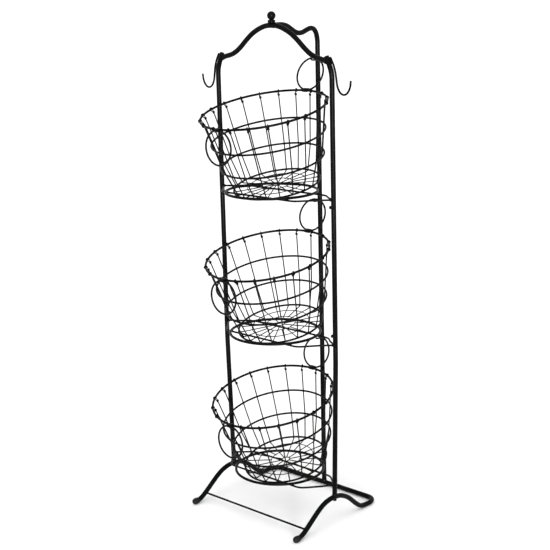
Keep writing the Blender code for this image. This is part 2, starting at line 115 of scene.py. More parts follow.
def rounded(points, radii, arc=5):
    """Polyline with its corners rounded to the given radii (one for each inner point)."""
    p = [np.asarray(q, float) for q in points]
    out = [p[0]]
    for i in range(1, len(p) - 1):
        a, b, c = p[i - 1], p[i], p[i + 1]
        u, w = unit(a - b), unit(c - b)
        half = 0.5 * math.acos(max(-1, min(1, float(u @ w))))
        r = radii[i - 1]
        if r <= 0 or half > math.pi / 2 - 1e-3:
            out.append(b)
            continue
        reach = min(r / math.tan(half), 0.45 * np.linalg.norm(a - b), 0.45 * np.linalg.norm(c - b))
        r = reach * math.tan(half)
        centre = b + unit(u + w) * (r / math.sin(half))
        s, e = b + u * reach - centre, b + w * reach - centre
        total = math.acos(max(-1, min(1, float(unit(s) @ unit(e)))))
        for k in range(arc + 1):
            t = k / arc
            out.append(centre + (math.sin((1 - t) * total) * s + math.sin(t * total) * e) / math.sin(total))
    out.append(p[-1])
    return np.array(out)


def sweep(shape, path, radius, sides=24, closed=False, ref=(0, 0, 1), start=None, end=None, floor=None):
    """Round bar along a path. radius: a number, one for each station, or one for
    each station and side. start/end: (distance inwards, radius) pairs from the
    axis out, which shape the bar's end."""
    p = np.array(path, float)
    n = len(p)
    rad = np.asarray(radius, float)
    if rad.ndim == 0:
        rad = np.full(n, float(rad))
    if rad.ndim == 1:
        rad = np.repeat(rad[:, None], sides, 1)
    if closed:
        t = np.roll(p, -1, 0) - np.roll(p, 1, 0)
    else:
        t = np.gradient(p, axis=0)
    t /= np.linalg.norm(t, axis=1)[:, None]
    ref = np.asarray(ref, float)
    if abs(unit(ref) @ t[0]) > 0.97:
        ref = vec(1, 0, 0) if abs(t[0][0]) < 0.9 else vec(0, 1, 0)
    normal = np.zeros_like(p)
    normal[0] = unit(ref - t[0] * (ref @ t[0]))
    for i in range(1, n):
        v = normal[i - 1] - t[i] * (normal[i - 1] @ t[i])
        normal[i] = v / np.linalg.norm(v)
    other = np.cross(t, normal)
    ang = 2 * math.pi * (np.arange(sides) + 0.5) / sides
    ca, sa = np.cos(ang), np.sin(ang)

    def ring(c, nrm, oth, r):
        return c + (nrm[None] * ca[:, None] + oth[None] * sa[:, None]) * np.asarray(r).reshape(-1, 1)

    rings = [ring(p[i], normal[i], other[i], rad[i]) for i in range(n)]
    poles = [None, None]
    if not closed:
        tail = list(rad[0]), list(rad[-1])
        if start is None:
            r = float(rad[0].mean())
            start = [(0, 0)] + [(0.0, r * 0.55), (0.12 * r, r * 0.86), (0.3 * r, r)]
        if end is None:
            r = float(rad[-1].mean())
            end = [(0, 0)] + [(0.0, r * 0.55), (0.12 * r, r * 0.86), (0.3 * r, r)]
        lead = [ring(p[0] + t[0] * d, normal[0], other[0], np.full(sides, r)) for d, r in start[1:]]
        last = [ring(p[-1] - t[-1] * d, normal[-1], other[-1], np.full(sides, r)) for d, r in end[1:]]
        poles = [p[0] + t[0] * start[0][0], p[-1] - t[-1] * end[0][0]]
        rings = lead + rings[1:-1] + last[::-1]
    verts = np.vstack(rings)
    if floor is not None:
        verts[:, 2] = np.maximum(verts[:, 2], floor)
    faces = []
    m = len(rings)
    for i in range(m if closed else m - 1):
        a, b = i * sides, ((i + 1) % m) * sides
        for k in range(sides):
            k2 = (k + 1) % sides
            faces.append((a + k, a + k2, b + k2, b + k))
    if not closed:
        base = len(verts)
        verts = np.vstack([verts, poles[0], poles[1]])
        if floor is not None:
            verts[:, 2] = np.maximum(verts[:, 2], floor)
        off = (m - 1) * sides
        for k in range(sides):
            k2 = (k + 1) % sides
            faces.append((base, k2, k))
            faces.append((base + 1, off + k, off + k2))
    shape.add(verts, faces)


def ring_path(centre, across, along, radius, count):
    a = 2 * math.pi * np.arange(count) / count
    return np.asarray(centre) + (np.outer(np.cos(a), across) + np.outer(np.sin(a), along)) * radius


def wire_ring(shape, centre, across, along, radius, wire, count, sides, seam=None, seam_width=2.4, rise=0.13):
    """Closed wire hoop. seam: angle of its butt weld, a low smooth swelling."""
    path = ring_path(centre, across, along, radius, count)
    rad = np.full(count, float(wire))
    if seam is not None:
        a = 2 * math.pi * np.arange(count) / count
        gap = (a - seam + math.pi) % (2 * math.pi) - math.pi
        rad *= 1 + rise * np.exp(-(gap * radius / seam_width) ** 2)
    sweep(shape, path, rad, sides, closed=True, ref=np.cross(across, along))


def lathe(shape, profile, centre, axis, sides=48, ref=(1, 0, 0), floor=None):
    """Turned body from (radius, distance) pairs; both ends have radius 0."""
    axis = unit(axis)
    ref = np.asarray(ref, float)
    side = unit(ref - axis * (ref @ axis))
    up = np.cross(axis, side)
    ang = 2 * math.pi * (np.arange(sides) + 0.5) / sides
    circle = np.outer(np.cos(ang), side) + np.outer(np.sin(ang), up)
    verts = [np.asarray(centre) + axis * profile[0][1]]
    for r, d in profile[1:-1]:
        verts.extend(np.asarray(centre) + axis * d + circle * r)
    verts.append(np.asarray(centre) + axis * profile[-1][1])
    verts = np.array(verts)
    if floor is not None:
        verts[:, 2] = np.maximum(verts[:, 2], floor)
    m = len(profile) - 2
    faces = [(0, 1 + (k + 1) % sides, 1 + k) for k in range(sides)]
    for i in range(m - 1):
        a, b = 1 + i * sides, 1 + (i + 1) * sides
        faces += [(a + k, a + (k + 1) % sides, b + (k + 1) % sides, b + k) for k in range(sides)]
    off, top = 1 + (m - 1) * sides, len(verts) - 1
    faces += [(top, off + k, off + (k + 1) % sides) for k in range(sides)]
    shape.add(verts, faces)


def soft(profile, cut=0.35):
    """Rounds the corners of a lathe profile a little."""
    out = [profile[0]]
    for i in range(1, len(profile) - 1):
        a, b, c = (np.array(q, float) for q in profile[i - 1:i + 2])
        la, lc = np.linalg.norm(a - b), np.linalg.norm(c - b)
        if min(la, lc) < 1e-6:
            out.append(tuple(b))
            continue
        d = min(cut, 0.4 * la, 0.4 * lc)
        s, e = b + (a - b) * d / la, b + (c - b) * d / lc
        out += [tuple(s), tuple(0.25 * s + 0.5 * b + 0.25 * e), tuple(e)]
    out.append(profile[-1])
    return out


def collar(shape, point, direction, inner, swell, length, seed, sides=26, sink=1.5):
    """Weld fillet round a bar that stands on another: flares towards the joint,
    with the slow ripple that a hand weld leaves."""
    d = unit(direction)
    s = np.array([-sink, 0.0, 0.16, 0.34, 0.55, 0.78, 1.0])
    s[2:] *= length
    k = 2 * math.pi * np.arange(sides) / sides
    ripple = 1 + 0.13 * np.sin(3 * k + seed) + 0.09 * np.sin(7 * k + 1.7 * seed) + 0.05 * np.sin(11 * k + 0.6 * seed)
    rad = []
    for q in s:
        share = max(0.0, 1 - max(q, 0) / length) ** 1.7
        rad.append(inner * 0.985 + swell * share * ripple)
    path = [np.asarray(point) + d * q for q in s]
    sweep(shape, path, np.array(rad), sides, ref=(0.3, 1, 0.2), start=[(0, 0), (0, inner * 0.5), (0.2, inner)],
          end=[(0.3, 0), (0.15, inner * 0.6), (0, inner * 0.985)])


def blob(shape, centre, axes, sizes, rings=7, sides=12):
    """Small weld nugget: an ellipsoid on three given directions."""
    x, y, z = (unit(a) * s for a, s in zip(axes, sizes))
    verts, faces = [np.asarray(centre) + z], []
    for i in range(1, rings):
        b = math.pi * i / rings
        for k in range(sides):
            a = 2 * math.pi * k / sides
            verts.append(centre + x * (math.sin(b) * math.cos(a)) + y * (math.sin(b) * math.sin(a)) + z * math.cos(b))
    verts.append(np.asarray(centre) - z)
    for k in range(sides):
        faces.append((0, 1 + k, 1 + (k + 1) % sides))
    for i in range(rings - 2):
        a, b = 1 + i * sides, 1 + (i + 1) * sides
        faces += [(a + k, b + k, b + (k + 1) % sides, a + (k + 1) % sides) for k in range(sides)]
    off, last = 1 + (rings - 2) * sides, len(verts) - 1
    faces += [(last, off + (k + 1) % sides, off + k) for k in range(sides)]
    shape.add(verts, faces)


# ------------------------------------------------------------------ materials
def nodes_of(name):
    mat = bpy.data.materials.new(name)
    mat.use_nodes = True
    tree = mat.node_tree
    return mat, tree, tree.nodes["Principled BSDF"]


def link(tree, a, out, b, inp):
    tree.links.new(a.outputs[out], b.inputs[inp])


def noise(tree, coord, scale, detail, rough=0.5):
    n = tree.nodes.new("ShaderNodeTexNoise")
    n.inputs["Scale"].default_value = scale
    n.inputs["Detail"].default_value = detail
    n.inputs["Roughness"].default_value = rough
    link(tree, coord, "Object", n, "Vector")
    return n


def ramp(tree, src, out, stops):
    r = tree.nodes.new("ShaderNodeValToRGB")
    while len(r.color_ramp.elements) < len(stops):
        r.color_ramp.elements.new(0.5)
    for e, (pos, c) in zip(r.color_ramp.elements, stops):
        e.position = pos
        e.color = (c, c, c, 1) if not isinstance(c, tuple) else (*c, 1)
    link(tree, src, out, r, "Fac")
    return r


def ranged(tree, src, out, lo, hi, a, b):
    m = tree.nodes.new("ShaderNodeMapRange")
    m.inputs["From Min"].default_value, m.inputs["From Max"].default_value = lo, hi
    m.inputs["To Min"].default_value, m.inputs["To Max"].default_value = a, b
    link(tree, src, out, m, "Value")
    return m


def powder_coat(name, dark, light, rough, peel_scale, peel, dust):
    """Satin black powder coat: orange peel, cloudy gloss, fine dust and pale
    specks where the coat is rubbed."""
    mat, tree, bsdf = nodes_of(name)
    coord = tree.nodes.new("ShaderNodeTexCoord")
    cloud = noise(tree, coord, 42.0, 3.0)
    base = ramp(tree, cloud, "Fac", [(0.32, dark), (0.72, light)])
    # rubbed specks
    rub = noise(tree, coord, 520.0, 2.0, 0.6)
    where = noise(tree, coord, 19.0, 2.0)
    speck = ranged(tree, rub, "Fac", 0.66, 0.74, 0.0, 1.0)
    zone = ranged(tree, where, "Fac", 0.52, 0.68, 0.0, dust)
    both = tree.nodes.new("ShaderNodeMath")
    both.operation = "MULTIPLY"
    link(tree, speck, "Result", both, 0)
    link(tree, zone, "Result", both, 1)
    mix = tree.nodes.new("ShaderNodeMix")
    mix.data_type = "RGBA"
    link(tree, both, "Value", mix, 0)
    tree.links.new(base.outputs["Color"], mix.inputs[6])
    mix.inputs[7].default_value = (0.11, 0.107, 0.102, 1)
    tree.links.new(mix.outputs[2], bsdf.inputs["Base Color"])
    # gloss
    fine = noise(tree, coord, 260.0, 3.0)
    gloss = ranged(tree, fine, "Fac", 0.3, 0.7, rough - 0.07, rough + 0.08)
    worn = tree.nodes.new("ShaderNodeMath")
    worn.operation = "MULTIPLY_ADD"
    link(tree, both, "Value", worn, 0)
    worn.inputs[1].default_value = 0.25
    link(tree, gloss, "Result", worn, 2)
    link(tree, worn, "Value", bsdf, "Roughness")
    # orange peel over slow unevenness of the drawn steel
    peel_noise = noise(tree, coord, peel_scale, 2.0, 0.45)
    slow = noise(tree, coord, 75.0, 1.0)
    b1 = tree.nodes.new("ShaderNodeBump")
    b1.inputs["Strength"].default_value = peel
    b1.inputs["Distance"].default_value = 0.0004
    link(tree, peel_noise, "Fac", b1, "Height")
    b2 = tree.nodes.new("ShaderNodeBump")
    b2.inputs["Strength"].default_value = 0.16
    b2.inputs["Distance"].default_value = 0.0012
    link(tree, slow, "Fac", b2, "Height")
    link(tree, b1, "Normal", b2, "Normal")
    link(tree, b2, "Normal", bsdf, "Normal")
    bsdf.inputs["Metallic"].default_value = 0.0
    bsdf.inputs["IOR"].default_value = 1.47
    bsdf.inputs["Specular IOR Level"].default_value = 0.05
    return mat


def vinyl(name):
    mat, tree, bsdf = nodes_of(name)
    coord = tree.nodes.new("ShaderNodeTexCoord")
    cloud = noise(tree, coord, 120.0, 4.0)
    base = ramp(tree, cloud, "Fac", [(0.3, 0.004), (0.75, 0.009)])
    tree.links.new(base.outputs["Color"], bsdf.inputs["Base Color"])
    fine = noise(tree, coord, 900.0, 3.0)
    gloss = ranged(tree, fine, "Fac", 0.3, 0.7, 0.5, 0.68)
    link(tree, gloss, "Result", bsdf, "Roughness")
    b = tree.nodes.new("ShaderNodeBump")
    b.inputs["Strength"].default_value = 0.3
    b.inputs["Distance"].default_value = 0.0003
    link(tree, fine, "Fac", b, "Height")
    link(tree, b, "Normal", bsdf, "Normal")
    bsdf.inputs["IOR"].default_value = 1.5
    bsdf.inputs["Specular IOR Level"].default_value = 0.10
    return mat


TUBE = powder_coat("frame_powder_coat", 0.0008, 0.0022, 0.32, 780.0, 0.22, 0.4)
TRAY = powder_coat("tray_powder_coat", 0.0008, 0.0022, 0.34, 900.0, 0.2, 0.35)
BASKET = powder_coat("basket_powder_coat", 0.0008, 0.0022, 0.36, 1000.0, 0.2, 0.3)
HANDLE = powder_coat("handle_powder_coat", 0.0008, 0.0022, 0.30, 1000.0, 0.16, 0.5)
SCREW = powder_coat("screw_black_oxide", 0.0008, 0.0022, 0.30, 1500.0, 0.14, 0.6)
CAP = vinyl("cap_vinyl")


def piece(name, shape, node, body, slot, mat, sharp=38.0):
    mesh = bpy.data.meshes.new(name)
    mesh.from_pydata((np.vstack(shape.v) * 0.001).tolist(), [], shape.f)
    bm = bmesh.new()
    bm.from_mesh(mesh)
    bmesh.ops.recalc_face_normals(bm, faces=bm.faces[:])
    bm.to_mesh(mesh)
    bm.free()
    mesh.shade_smooth()
    mesh.set_sharp_from_angle(angle=math.radians(sharp))
    mesh.materials.append(mat)
    ob = bpy.data.objects.new(name, mesh)
    bpy.context.scene.collection.objects.link(ob)
    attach(ob, body)
    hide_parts(node)
    return ob


def frame_piece(node, shape, mat=None, slot="frame_tube", **kw):
    return piece(node + "_surface", shape, node, "stand", slot, mat or TUBE, **kw)


# ------------------------------------------------------------------ the stand
def build_base():
    s = Shape()
    x, z0 = POST_X_LOW, 6.0
    half = [at(x, -141, 7.3), at(x, -136, 7.3), at(x, -130, 7.4), at(x, -119, 11.4), at(x, -107, 18.5),
            at(x, -93, 28.5), at(x, -77, 40.0), at(x, -61, 51.0), at(x, -43, 60.5), at(x, -23, 66.0),
            at(x, -3, 67.0), at(x, 17, 64.5), at(x, 36, 57.0), at(x, 53, 46.5), at(x, 68, 33.5), at(x, 83, 20.5),
            at(x, 97, 10.8), at(x, 111, 6.9), at(x, 124, z0), at(x, 137, z0), at(x - 5, 150, z0),
            at(x - 14, 158, z0), at(x - 28, Y_REAR, z0), at(x - 60, Y_REAR, z0)]
    right = curve(half, 3.0)
    right[:, 1] = np.minimum(right[:, 1], half[-1][1])
    left = right[::-1] * vec(-1, 1, 1)
    sweep(s, np.vstack([right, left]), TUBE_R, 32, ref=(0, 0, 1), floor=0.0)
    for side in (1, -1):
        # end of the post's plug under the leg
        lathe(s, [(0, -5.9), (2.8, -5.9), (4.0, -5.6), (4.6, -4.9), (4.7, -3.9), (4.7, 0), (0, 0)], at(side * x, 0, 63.0),
              (0, 0, 1), 28)
    frame_piece("base_loop", s)

    for side, name in ((1, "right"), (-1, "left")):
        s = Shape()
        foot = at(side * x, -141.3, 7.3)
        profile = [(0, 2.0), (6.1, 2.0), (6.1, 7.7), (6.4, 8.0), (7.0, 7.95), (7.4, 7.5), (7.5, 6.8), (7.4, 6.3), (7.55, 5.8),
                   (7.75, 3.4), (7.8, 1.0), (7.65, -1.2), (7.35, -3.1), (6.8, -4.8), (6.0, -6.2), (4.9, -7.4), (3.6, -8.2),
                   (2.0, -8.8), (0, -8.95)]
        lathe(s, profile, foot, (0, 1, 0), 48, floor=0.0)
        frame_piece("foot_cap_" + name, s, CAP, "foot_cap", sharp=50)

    s = Shape()
    sweep(s, [at(-166, -106, 19.2), at(-150, -106, 19.2), at(150, -106, 19.2), at(166, -106, 19.2)], ROD_R, 20)
    for side in (1, -1):
        collar(s, at(side * 165.0, -106, 19.2), (-side, 0, 0), ROD_R, 1.5, 3.4, 1.3 + side)
    frame_piece("front_crossbar", s)


def straight_post(s, start, end, bend=None):
    """Tube whose top is swaged down to slip into the next one. bend: distance
    along it of an extra ring, for a change in direction."""
    start, end = np.asarray(start, float), np.asarray(end, float)
    length = np.linalg.norm(end - start)
    axis = unit(end - start)
    spigot = 26.0
    outer = [(TUBE_R - 0.45, 0.0), (TUBE_R - 0.12, 0.18), (TUBE_R, 0.5), (TUBE_R, length - 1.6), (TUBE_R - 0.1, length - 0.9),
             (TUBE_R - 0.55, length - 0.25), (SPIGOT_R + 0.25, length - 0.02), (SPIGOT_R, length + 0.4),
             (SPIGOT_R, length + spigot - 1.0), (SPIGOT_R - 0.4, length + spigot)]
    if bend:
        outer[3:3] = [(TUBE_R, bend - 4.0), (TUBE_R, bend), (TUBE_R, bend + 4.0)]
    inner = [(SPIGOT_R - 1.2, length + spigot)]
    lathe(s, [(0, 6.0), (BORE_R, 6.0), (BORE_R, 0.1)] + outer + inner + [(SPIGOT_R - 1.2, length + 4), (0, length + 4)],
          start, axis, 40, ref=(0, 1, 0))


def build_posts():
    for side, name in ((1, "right"), (-1, "left")):
        def p(z, s=side):
            return at(s * post_x(z), 0, z)
        s = Shape()
        straight_post(s, at(side * POST_X_HIGH, 0, POST_Z_LOW + 0.3), at(side * POST_X_HIGH, 0, JOINTS[0] - 0.15),
                      bend=POST_Z_BEND - POST_Z_LOW - 0.3)
        for v in s.v:
            v[:, 0] += side * (post_x(v[:, 2]) - POST_X_HIGH)
        collar(s, p(POST_Z_LOW - 1.6), (0, 0, 1), TUBE_R, 1.3, 5.2, 2.0 + side, sides=40, sink=4.0)
        frame_piece("lower_post_" + name, s)
        s = Shape()
        straight_post(s, p(JOINTS[0] + 0.15), p(JOINTS[1] - 0.15))
        frame_piece("middle_post_" + name, s)
        s = Shape()
        bend = [at(side * 178.8, 0, 1050), at(side * 178.8, 0, 1062), at(side * 178.5, 0, 1074),
                at(side * 176.4, 0, 1086), at(side * 172.3, 0, 1097), at(side * 167.6, 0, 1108), at(side * 163.2, 0, 1118.5)]
        path = np.vstack([[p(JOINTS[1] + 0.15), p(JOINTS[1] + 4), p(900), p(1030)], curve(bend, 2.0)])
        rad = np.full(len(path), TUBE_R)
        sweep(s, path, rad, 36, ref=(0, 1, 0),
              start=[(38, 0), (38, BORE_R), (0, BORE_R), (0, TUBE_R - 0.45), (0.18, TUBE_R - 0.12), (0.5, TUBE_R)],
              end=[(0.9, 0), (0.9, 3.2), (0.3, 4.1), (0.0, 4.9), (0.25, 5.45), (0.8, 5.8), (1.5, TUBE_R)])
        frame_piece("upper_post_" + name, s)

    s = Shape()
    straight_post(s, at(0, Y_REAR, 12.2), at(0, Y_REAR, JOINTS[0] - 0.15))
    collar(s, at(0, Y_REAR, 10.4), (0, 0, 1), TUBE_R, 1.3, 5.2, 5.1, sides=40, sink=4.0)
    frame_piece("lower_post_rear", s)
    s = Shape()
    straight_post(s, at(0, Y_REAR, JOINTS[0] + 0.15), at(0, Y_REAR, JOINTS[1] - 0.15))
    frame_piece("middle_post_rear", s)
    s = Shape()
    y = Y_REAR
    crook = [at(0, y, 1080), at(0, y, 1100), at(0, y, 1124), at(0, y - 0.4, 1143), at(0, y - 4.5, 1159), at(0, y - 13, 1169),
             at(0, 135, 1171.5), at(0, 121, 1168), at(0, 107, 1163.5), at(0, 93, 1162.5), at(0, 79, 1166.5),
             at(0, 66, 1173.5), at(0, 52, 1180.5), at(0, 37, 1184.0), at(0, 21, 1184.6), at(0, 4.0, 1184)]
    path = np.vstack([[at(0, y, JOINTS[1] + 0.15), at(0, y, JOINTS[1] + 4), at(0, y, 950)], curve(crook, 2.2)])
    sweep(s, path, TUBE_R, 36, ref=(1, 0, 0),
          start=[(38, 0), (38, BORE_R), (0, BORE_R), (0, TUBE_R - 0.45), (0.18, TUBE_R - 0.12), (0.5, TUBE_R)])
    collar(s, at(0, 5.4, 1184.0), (0, 1, 0), TUBE_R, 1.1, 4.6, 0.7, sides=40, sink=2.5)
    frame_piece("upper_post_rear", s)


def build_top():
    s = Shape()
    top = ARCH_TOP
    half = [at(0, 0, top), at(20, 0, top - 1.6), at(42, 0, top - 9), at(62, 0, top - 19.5), at(80, 0, top - 33),
            at(98, 0, top - 48.5), at(116, 0, top - 61.5), at(133, 0, top - 69), at(150, 0, top - 73), at(160, 0, top - 76),
            at(165, 0, top - 77.6)]
    pts = [q * vec(-1, 1, 1) for q in half[1:]][::-1] + half
    path = curve(pts, 2.4)
    sweep(s, path, TUBE_R, 36, ref=(0, 1, 0))
    for side in (1, -1):
        d = unit(vec(-side * 1.0, 0, 0.28))
        collar(s, at(side * 162.4, 0, top - 76.9), d, TUBE_R, 1.1, 4.4, 3.3 + side, sides=40, sink=2.0)
    frame_piece("front_arch", s)

    s = Shape()
    b, z = 10.0, 1206.0
    base = top + TUBE_R - 0.6
    profile = [(0, base), (8.1, base), (8.9, base + 0.9), (9.0, base + 1.9), (8.75, base + 2.7), (8.75, base + 3.2), (9.0, base + 4.0),
               (9.0, base + 5.2), (8.7, base + 6.1), (7.9, base + 6.9), (6.4, base + 7.35), (5.2, base + 7.8), (4.75, base + 8.6)]
    start = math.degrees(math.asin(-0.86))
    for k in range(22):
        a = math.radians(start + (89.0 - start) * k / 21)
        profile.append((b * math.cos(a), z + b * math.sin(a)))
    profile.append((0, z + b))
    lathe(s, profile, at(0, 0, 0), (0, 0, 1), 56)
    frame_piece("finial", s, sharp=55)

    for side, name in ((1, "right"), (-1, "left")):
        s = Shape()
        pts = [at(side * a, 0, c) for a, c in ((174.4, 1117), (177.3, 1112), (183.6, 1100), (188.6, 1085), (191.4, 1069),
               (194.2, 1053), (200.2, 1041), (209.2, 1035.2), (218.6, 1036.4), (226.2, 1043.6), (230.9, 1054), (232.6, 1067))]
        path = curve(pts, 1.6)
        r = ROD_R
        sweep(s, path, r, 20, ref=(0, 1, 0),
              end=[(-0.2, 0), (-0.12, 0.7), (0.1, 1.3), (0.5, 1.8), (1.1, r)])
        for k, (a, c) in enumerate(((174.6, 1110.6), (176.0, 1107.0), (177.6, 1103.2))):
            blob(s, at(side * a, 0, c), ((1, 0, 0), (0, 1, 0), (side * 0.4, 0, -1)), (2.4 - 0.2 * k, 3.0, 2.6))
        frame_piece("side_hook_" + name, s)


# ------------------------------------------------------------------ the trays
def build_tray(tier):
    z = TRAY_Z[tier]
    s = Shape()
    wire_ring(s, at(0, TRAY_Y[tier], z), vec(1, 0, 0), vec(0, 1, 0), TRAY_R, TRAY_RING_WIRE, 168, 20, seam=0.35, seam_width=3.2, rise=0.1)
    frame_piece("tray_ring_" + tier, s, TRAY, "tray_wire")
    zw = z - (TRAY_RING_WIRE + TRAY_WIRE + 0.05)
    reach = post_x(zw) - TUBE_R + 1.5
    front = [(reach, -1.6), (150, -24), (130, -48), (119, -59.5), (108, -64.6), (95, -65), (70, -65), (0, -65)]
    rear = [(reach, 1.6), (150, 16.5), (134, 30), (124, 35.4), (113, 37), (90, 37), (60, 37), (0, 37)]
    for node, pts, seed in (("tray_front_wire_", front, 0.4), ("tray_rear_wire_", rear, 2.2)):
        s = Shape()
        right = [at(a, b, zw) for a, b in pts]
        full = [q * vec(-1, 1, 1) for q in right[:-1]] + right[::-1]
        path = curve(full, 2.6)
        sweep(s, path, TRAY_WIRE, 16, ref=(0, 0, 1))
        for k, side in enumerate((1, -1)):
            near = np.array([q * vec(side, 1, 1) for q in right[:2]])
            d = unit(near[1] - near[0])
            collar(s, near[0] + d * 1.9, d, TRAY_WIRE, 1.5, 3.6, seed + k, sides=22)
        # nuggets where the wire is welded under the ring
        y = pts[-1][1]
        x = math.sqrt(TRAY_R ** 2 - (y - TRAY_Y[tier]) ** 2)
        for side in (1, -1):
            blob(s, at(side * x, y, zw + TRAY_WIRE * 0.9), ((1, 0, 0), (0, 1, 0), (0, 0, 1)), (3.0, 2.5, 1.4))
        frame_piece(node + tier, s, TRAY, "tray_wire")


def build_screws():
    for z, tier in ((777.5, "top"), (471.5, "middle")):
        for side, name in ((1, "right"), (-1, "left")):
            s = Shape()
            x = side * (post_x(z) - TUBE_R + 0.3)
            axis = vec(-side, 0, 0)
            centre = at(0, 0, z) + vec(x, 0, 0)
            profile = [(0, 0), (2.15, 0), (2.15, 2.7), (3.7, 2.75), (4.0, 3.05), (4.0, 4.0)]
            dome = []
            for k in range(1, 9):
                a = math.radians(90 * k / 9)
                dome.append((4.0 * math.cos(a), 4.0 + 2.9 * math.sin(a)))
            lathe(s, profile + dome + [(0.35, 6.9), (0, 6.9)], centre, axis, 40, ref=(0, 0, 1))
            # cross recess pressed into the dome
            v = s.v[-1]
            rel = v - centre
            depth = rel @ axis
            u, w = rel @ vec(0, 0, 1), rel @ vec(0, 1, 0)
            inside = ((np.abs(u) < 0.62) & (np.abs(w) < 2.5)) | ((np.abs(w) < 0.62) & (np.abs(u) < 2.5))
            r = np.hypot(u, w)
            sink = np.where(inside & (depth > 4.6), 1.5 * (1 - r / 3.4), 0.0)
            s.v[-1] = v - np.outer(np.maximum(sink, 0), axis)
            frame_piece("tray_screw_%s_%s" % (tier, name), s, SCREW, "screw", sharp=30)


# ---------------------------------------------------------------- the baskets
class Basket:
    def __init__(self, tier):
        self.tier = tier
        x, y, tilt, self.turn = SEAT[tier]
        self.axis = vec(0, -math.sin(tilt), math.cos(tilt))
        self.back = vec(0, math.cos(tilt), math.sin(tilt))
        z = TRAY_Z[tier] - (TRAY_RING_WIRE + TRAY_WIRE + 0.3) + TRAY_WIRE + 0.45 + WIRE_R / math.cos(tilt)
        self.floor = vec(x, Y0 + y, z + (y + 65.0) * math.tan(tilt))

    def out(self, a):
        return vec(1, 0, 0) * math.cos(a) + self.back * math.sin(a)

    def place(self, r, a, h):
        return self.floor + self.out(a) * r + self.axis * h


def build_cage(b):
    s = Shape()
    touch = HOOP_R + WIRE_R - 0.25
    rim_touch = RIM_R + WIRE_R - 0.05
    step = 2 * math.pi / WIRES
    top = vec(RIM[0] - rim_touch, 0, RIM[1] - 0.4)
    upper = vec(UPPER[0] - touch, 0, UPPER[1])
    lower = vec(LOWER[0] - touch, 0, LOWER[1])
    lines = [rounded([vec(r, 0, 0), vec(45, 0, 0), vec(85, 0, 0), vec(99.3, 0, 0), lower, upper, top], [0, 0, 6.0, 60, 60], 6)
             for r in (9.6, WEB[0] - 0.6)]
    direction = unit(top - upper)
    normal = vec(direction[2], 0, -direction[0])
    for j in range(WIRES):
        a = (j + 0.5) * step + b.turn
        # over the rim and down outside it, back under, then round itself;
        # beside a handle clip it hugs the rim, so that the ring handle passes
        beside = RIM[0] * abs(math.cos(a)) < 20
        loop = []
        for k in range(1, 23):
            deg = 180 - 287 * k / 22
            q = math.radians(deg)
            r = rim_touch
            if beside:
                r -= 2.0 * max(0.0, min(1.0, (155 - deg) / 50, (deg + 107) / 30))
            loop.append(vec(RIM[0] + r * math.cos(q), 0.05 * k, RIM[1] + r * math.sin(q)))
        turns, pitch = 2.1 + 0.2 * math.sin(3.1 * j), 2.3
        h0 = RIM[1] - 5.0 - 0.5 * math.sin(1.7 * j)
        helix = []
        count = int(turns * 14)
        for k in range(count + 1):
            q = math.radians(48) + 2 * math.pi * turns * k / count
            h = h0 - pitch * turns * k / count
            m = top + direction * ((h - top[2]) / direction[2])
            helix.append(m + normal * (2.2 * math.cos(q)) + vec(0, 1, 0) * (2.2 * math.sin(q)))
        tail = curve(np.array([loop[-1], 0.55 * loop[-1] + 0.45 * helix[0] + vec(-0.2, 0.35, -0.25), helix[0]]), 0.7)[1:-1]
        low = helix[-1][2]
        taper = [top + direction * ((h - top[2]) / direction[2]) for h in (low - 1.5, low + 2.0)]
        path = np.vstack([lines[j % 2][:-1], taper, [top], loop, tail, helix])
        thick = np.full(len(path), WIRE_R)
        wall = len(lines[j % 2])
        thick[:wall] = np.where(path[:wall, 0] < 90, WIRE_R + 0.08, WIRE_R + 0.35)
        out, tan = b.out(a), b.back * math.cos(a) - vec(1, 0, 0) * math.sin(a)
        world = b.floor + np.outer(path[:, 0], out) + np.outer(path[:, 1], tan) + np.outer(path[:, 2], b.axis)
        sweep(s, world, thick, 10, ref=tan)
        for r, h in (UPPER, LOWER):
            blob(s, b.place(r - HOOP_R * 0.95, a, h), (out, tan, b.axis), (0.9, 1.35, 1.5), 5, 8)
        blob(s, b.place(BASE[0] - HOOP_R * 0.95, a, BASE[1] + 1.1), (out, tan, b.axis), (1.0, 1.5, 1.3), 5, 8)
    for r in WEB:
        wire_ring(s, b.place(0, 0, 1.9), vec(1, 0, 0), b.back, r, WIRE_R * 0.9, 96, 10, seam=0.1, seam_width=1.6)
    wire_ring(s, b.place(0, 0, 0.5), vec(1, 0, 0), b.back, 9.6, 1.25, 48, 12, seam=1.1, seam_width=1.5)
    body = "basket_" + b.tier
    piece("wire_cage_%s_surface" % b.tier, s, "wire_cage_" + b.tier, body, "basket_wire", BASKET)


def build_hoops(b):
    body = "basket_" + b.tier
    for node, (r, h), wire, seam in (("rim_", RIM, RIM_R, 2.0), ("upper_hoop_", UPPER, HOOP_R, 2.4),
                                     ("lower_hoop_", LOWER, HOOP_R, 3.9), ("base_hoop_", BASE, HOOP_R, 0.9)):
        s = Shape()
        wire_ring(s, b.place(0, 0, h), vec(1, 0, 0), b.back, r, wire, 192, 16, seam=seam + math.radians(4.5) + b.turn)
        piece(node + b.tier + "_surface", s, node + b.tier, body, "basket_wire", BASKET)


